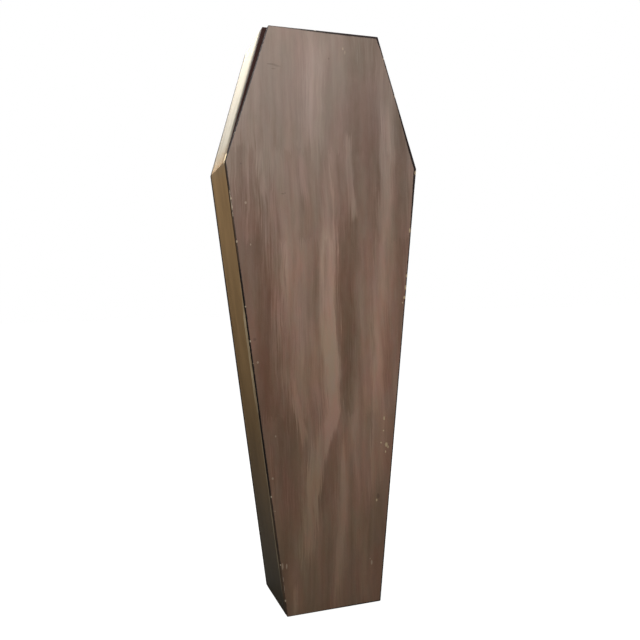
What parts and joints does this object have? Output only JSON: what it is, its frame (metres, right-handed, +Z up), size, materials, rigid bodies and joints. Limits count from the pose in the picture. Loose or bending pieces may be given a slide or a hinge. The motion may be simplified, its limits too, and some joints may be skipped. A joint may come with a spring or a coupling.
{
  "type": "wooden coffin",
  "caption": "Upright six-sided wooden coffin: a plain board box, widest at the shoulders and tapering to the foot, closed by a flat lift-off lid.",
  "frame": {"origin": "centre of the footprint, on the ground that the foot end stands on", "axes": "+Z up towards the head end, the lid faces -Y, +X to the right of someone who faces the lid"},
  "size_m": [0.6336, 0.266, 1.83],
  "materials": {
    "lid_paint": "satin brown paint with a dragged grain glaze, worn at the edges",
    "side_paint": "satin olive brown paint, worn at the edges",
    "back_paint": "thin matt brown paint over bare board"
  },
  "bodies": {
    "root": {"lid": "lid_paint", "back_board": "back_paint", "head_board": "side_paint", "foot_board": "side_paint", "left_side_board": "side_paint", "right_side_board": "side_paint", "left_shoulder_board": "side_paint", "right_shoulder_board": "side_paint"}
  },
  "joints": []
}
